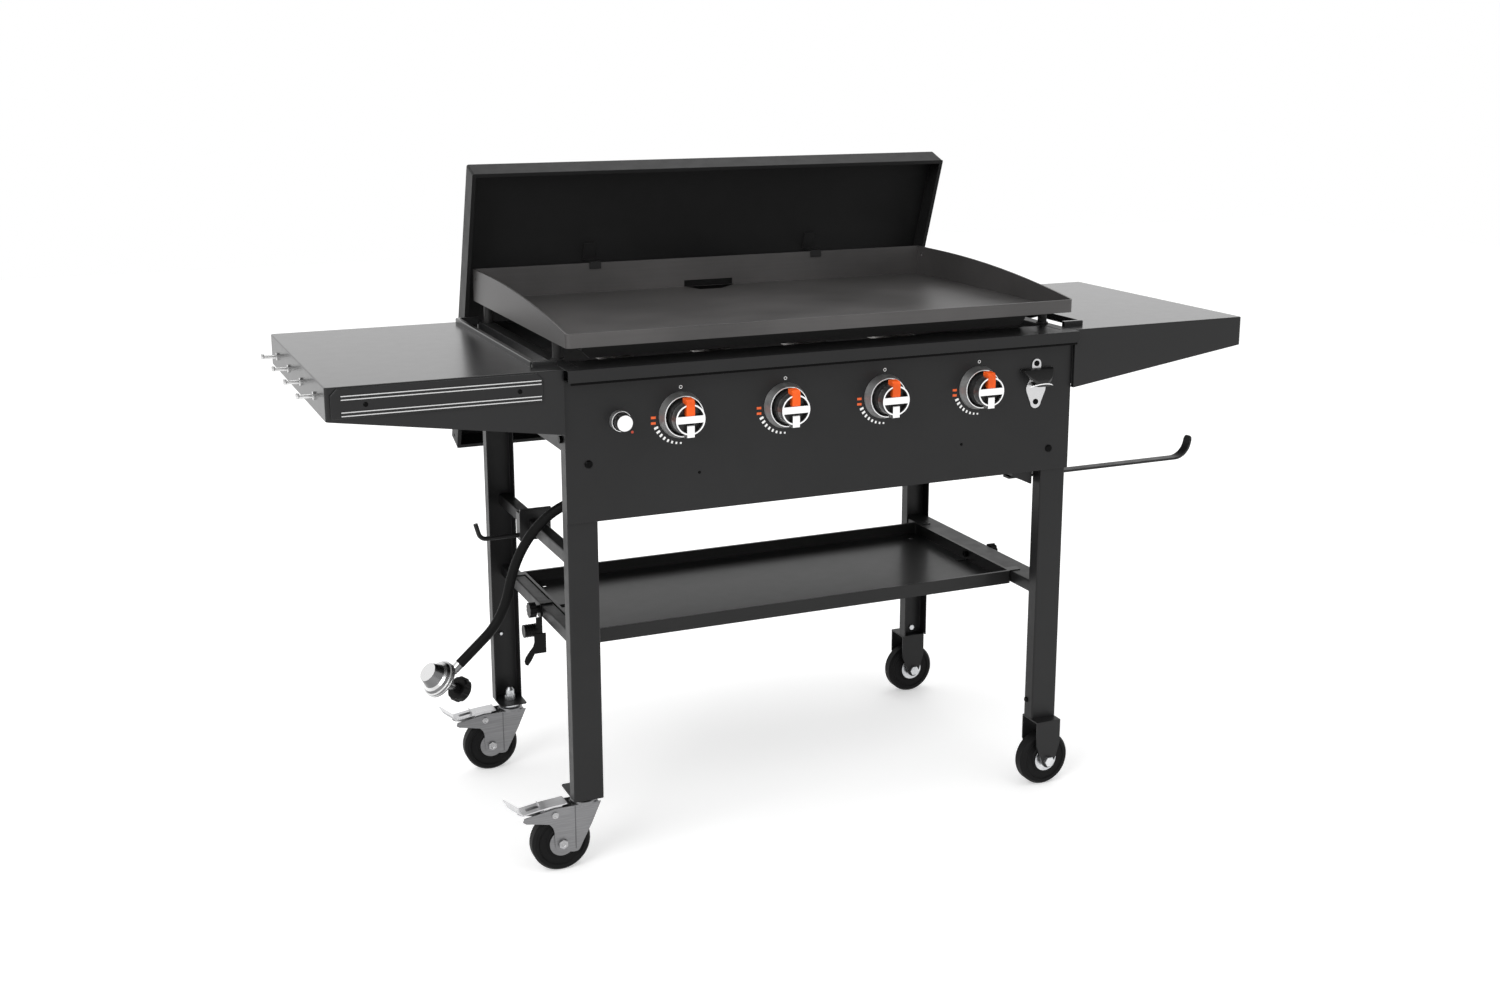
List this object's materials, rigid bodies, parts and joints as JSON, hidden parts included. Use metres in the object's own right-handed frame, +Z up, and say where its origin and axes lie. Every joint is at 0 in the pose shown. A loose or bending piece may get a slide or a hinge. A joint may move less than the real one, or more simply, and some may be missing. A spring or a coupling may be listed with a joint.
{
  "type": "outdoor gas griddle station",
  "caption": "Outdoor gas griddle station: wide flat-top griddle on a black sheet-metal body with side shelves, lift-off hard cover, bottom tray, casters and a gas hose with regulator.",
  "frame": {"origin": "centre of the outer box's footprint, on the floor under the wheels", "axes": "+X to the user's right along the front, +Y from the front towards the back, +Z up"},
  "size_m": [1.682, 0.761, 1.1275],
  "materials": {
    "powder_black": "satin, fine texture",
    "griddle_steel": "seasoned rolled steel, satin",
    "zinc": "bright zinc plate",
    "chrome": "brushed and polished",
    "bright_pole": "bright",
    "stainless": "satin",
    "brass": "machined",
    "magnet_black": "matt",
    "button_black": "satin",
    "orange": "satin",
    "wheel_black": "hard rubber, satin",
    "hose_rubber": "smooth, slight sheen",
    "regulator_grey": "die cast, satin",
    "bolt_black": "black oxide"
  },
  "bodies": {
    "stand": {"plate_posts": "zinc", "front_panel": "powder_black", "side_panels": "powder_black", "rear_panel": "powder_black", "left_shelf": "powder_black", "right_shelf": "powder_black", "tool_strip": "magnet_black", "strip_poles": "bright_pole", "tool_hooks": "powder_black", "legs": "powder_black", "crossbars": "powder_black", "bottom_tray": "powder_black", "burners": "stainless", "burner_rails": "zinc", "manifold_pipe": "zinc", "gas_valves": "brass", "panel_bezels": "chrome", "igniter_module": "button_black", "bottle_opener": "powder_black", "towel_holder": "powder_black", "tank_hanger": "powder_black", "tank_steady": "powder_black", "wheel_brackets": "powder_black", "wheel_pins": "zinc", "gas_hose": "hose_rubber", "regulator": "regulator_grey", "fasteners": "bolt_black"},
    "griddle": {"griddle_plate": "griddle_steel", "plate_frame": "griddle_steel"},
    "lid": {"lid_shell": "powder_black", "lid_hooks": "powder_black"},
    "cup": {"grease_cup": "powder_black"},
    "igniter": {"igniter_button": "chrome"},
    "caster_front": {"caster_fork_front": "zinc"},
    "caster_rear": {"caster_fork_rear": "zinc"},
    "pedal_front": {"brake_pedal_front": "zinc"},
    "pedal_rear": {"brake_pedal_rear": "zinc"},
    "wheel_lf": {"wheel_left_front": "wheel_black"},
    "wheel_lr": {"wheel_left_rear": "wheel_black"},
    "wheel_rf": {"wheel_right_front": "wheel_black"},
    "wheel_rr": {"wheel_right_rear": "wheel_black"},
    "thumb_knob": {"steady_knob": "button_black"},
    "tray_thumb_knob": {"tray_knob": "button_black"},
    "coupling_wheel": {"handwheel": "button_black"},
    "stem_1": {"valve_stem_1": "zinc"},
    "knob_1": {"knob_1": "button_black", "knob_trim_1": "chrome", "knob_pointer_1": "orange"},
    "stem_2": {"valve_stem_2": "zinc"},
    "knob_2": {"knob_2": "button_black", "knob_trim_2": "chrome", "knob_pointer_2": "orange"},
    "stem_3": {"valve_stem_3": "zinc"},
    "knob_3": {"knob_3": "button_black", "knob_trim_3": "chrome", "knob_pointer_3": "orange"},
    "stem_4": {"valve_stem_4": "zinc"},
    "knob_4": {"knob_4": "button_black", "knob_trim_4": "chrome", "knob_pointer_4": "orange"}
  },
  "joints": [
    {"name": "griddle_lift", "type": "slide", "parent": "stand", "child": "griddle", "axis": [0, 0, 1], "range_m": [0, 0.15]},
    {"name": "lid_lift", "type": "slide", "parent": "griddle", "child": "lid", "axis": [0, 0, 1], "range_m": [0, 0.25]},
    {"name": "cup_slide", "type": "slide", "parent": "stand", "child": "cup", "axis": [1, 0, 0], "range_m": [0, 0.14]},
    {"name": "igniter_press", "type": "slide", "parent": "stand", "child": "igniter", "axis": [0, 1, 0], "range_m": [0, 0.005], "stiffness_N_per_m": 700, "springref_m": -0.005},
    {"name": "knob_push_1", "type": "slide", "parent": "stand", "child": "stem_1", "axis": [0, 1, 0], "range_m": [0, 0.004], "stiffness_N_per_m": 900, "springref_m": -0.006},
    {"name": "knob_turn_1", "type": "hinge", "parent": "stem_1", "child": "knob_1", "pos_m": [-0.2574, -0.36198, 0.76], "axis": [0, -1, 0], "range_deg": [0, 180]},
    {"name": "knob_push_2", "type": "slide", "parent": "stand", "child": "stem_2", "axis": [0, 1, 0], "range_m": [0, 0.004], "stiffness_N_per_m": 900, "springref_m": -0.006},
    {"name": "knob_turn_2", "type": "hinge", "parent": "stem_2", "child": "knob_2", "pos_m": [-0.0748, -0.36198, 0.76], "axis": [0, -1, 0], "range_deg": [0, 180]},
    {"name": "knob_push_3", "type": "slide", "parent": "stand", "child": "stem_3", "axis": [0, 1, 0], "range_m": [0, 0.004], "stiffness_N_per_m": 900, "springref_m": -0.006},
    {"name": "knob_turn_3", "type": "hinge", "parent": "stem_3", "child": "knob_3", "pos_m": [0.1078, -0.36198, 0.76], "axis": [0, -1, 0], "range_deg": [0, 180]},
    {"name": "knob_push_4", "type": "slide", "parent": "stand", "child": "stem_4", "axis": [0, 1, 0], "range_m": [0, 0.004], "stiffness_N_per_m": 900, "springref_m": -0.006},
    {"name": "knob_turn_4", "type": "hinge", "parent": "stem_4", "child": "knob_4", "pos_m": [0.2904, -0.36198, 0.76], "axis": [0, -1, 0], "range_deg": [0, 180]},
    {"name": "swivel_front", "type": "hinge", "parent": "stand", "child": "caster_front", "pos_m": [-0.422, -0.29398, 0.115], "axis": [0, 0, 1], "continuous": true},
    {"name": "pedal_press_front", "type": "hinge", "parent": "caster_front", "child": "pedal_front", "pos_m": [-0.4758, -0.29398, 0.1022], "axis": [0, 1, 0], "range_deg": [-12, 0]},
    {"name": "wheel_roll_left_front", "type": "hinge", "parent": "caster_front", "child": "wheel_lf", "pos_m": [-0.464, -0.29398, 0.05], "axis": [0, 1, 0], "continuous": true},
    {"name": "swivel_rear", "type": "hinge", "parent": "stand", "child": "caster_rear", "pos_m": [-0.422, 0.14802, 0.115], "axis": [0, 0, 1], "continuous": true},
    {"name": "pedal_press_rear", "type": "hinge", "parent": "caster_rear", "child": "pedal_rear", "pos_m": [-0.4758, 0.14802, 0.1022], "axis": [0, 1, 0], "range_deg": [-12, 0]},
    {"name": "wheel_roll_left_rear", "type": "hinge", "parent": "caster_rear", "child": "wheel_lr", "pos_m": [-0.464, 0.14802, 0.05], "axis": [0, 1, 0], "continuous": true},
    {"name": "wheel_roll_right_front", "type": "hinge", "parent": "stand", "child": "wheel_rf", "pos_m": [0.452, -0.32798, 0.05], "axis": [0, 1, 0], "continuous": true},
    {"name": "wheel_roll_right_rear", "type": "hinge", "parent": "stand", "child": "wheel_rr", "pos_m": [0.452, 0.18402, 0.05], "axis": [0, 1, 0], "continuous": true},
    {"name": "thumb_knob_turn", "type": "hinge", "parent": "stand", "child": "thumb_knob", "pos_m": [-0.431, -0.07398, 0.377], "axis": [-1, 0, 0], "continuous": true},
    {"name": "tray_knob_turn", "type": "hinge", "parent": "stand", "child": "tray_thumb_knob", "pos_m": [0.48, -0.08698, 0.377], "axis": [1, 0, 0], "continuous": true},
    {"name": "coupling_turn", "type": "hinge", "parent": "stand", "child": "coupling_wheel", "pos_m": [-0.595, -0.17698, 0.2933], "axis": [0.7514, 0.3313, -0.5707], "continuous": true}
  ]
}
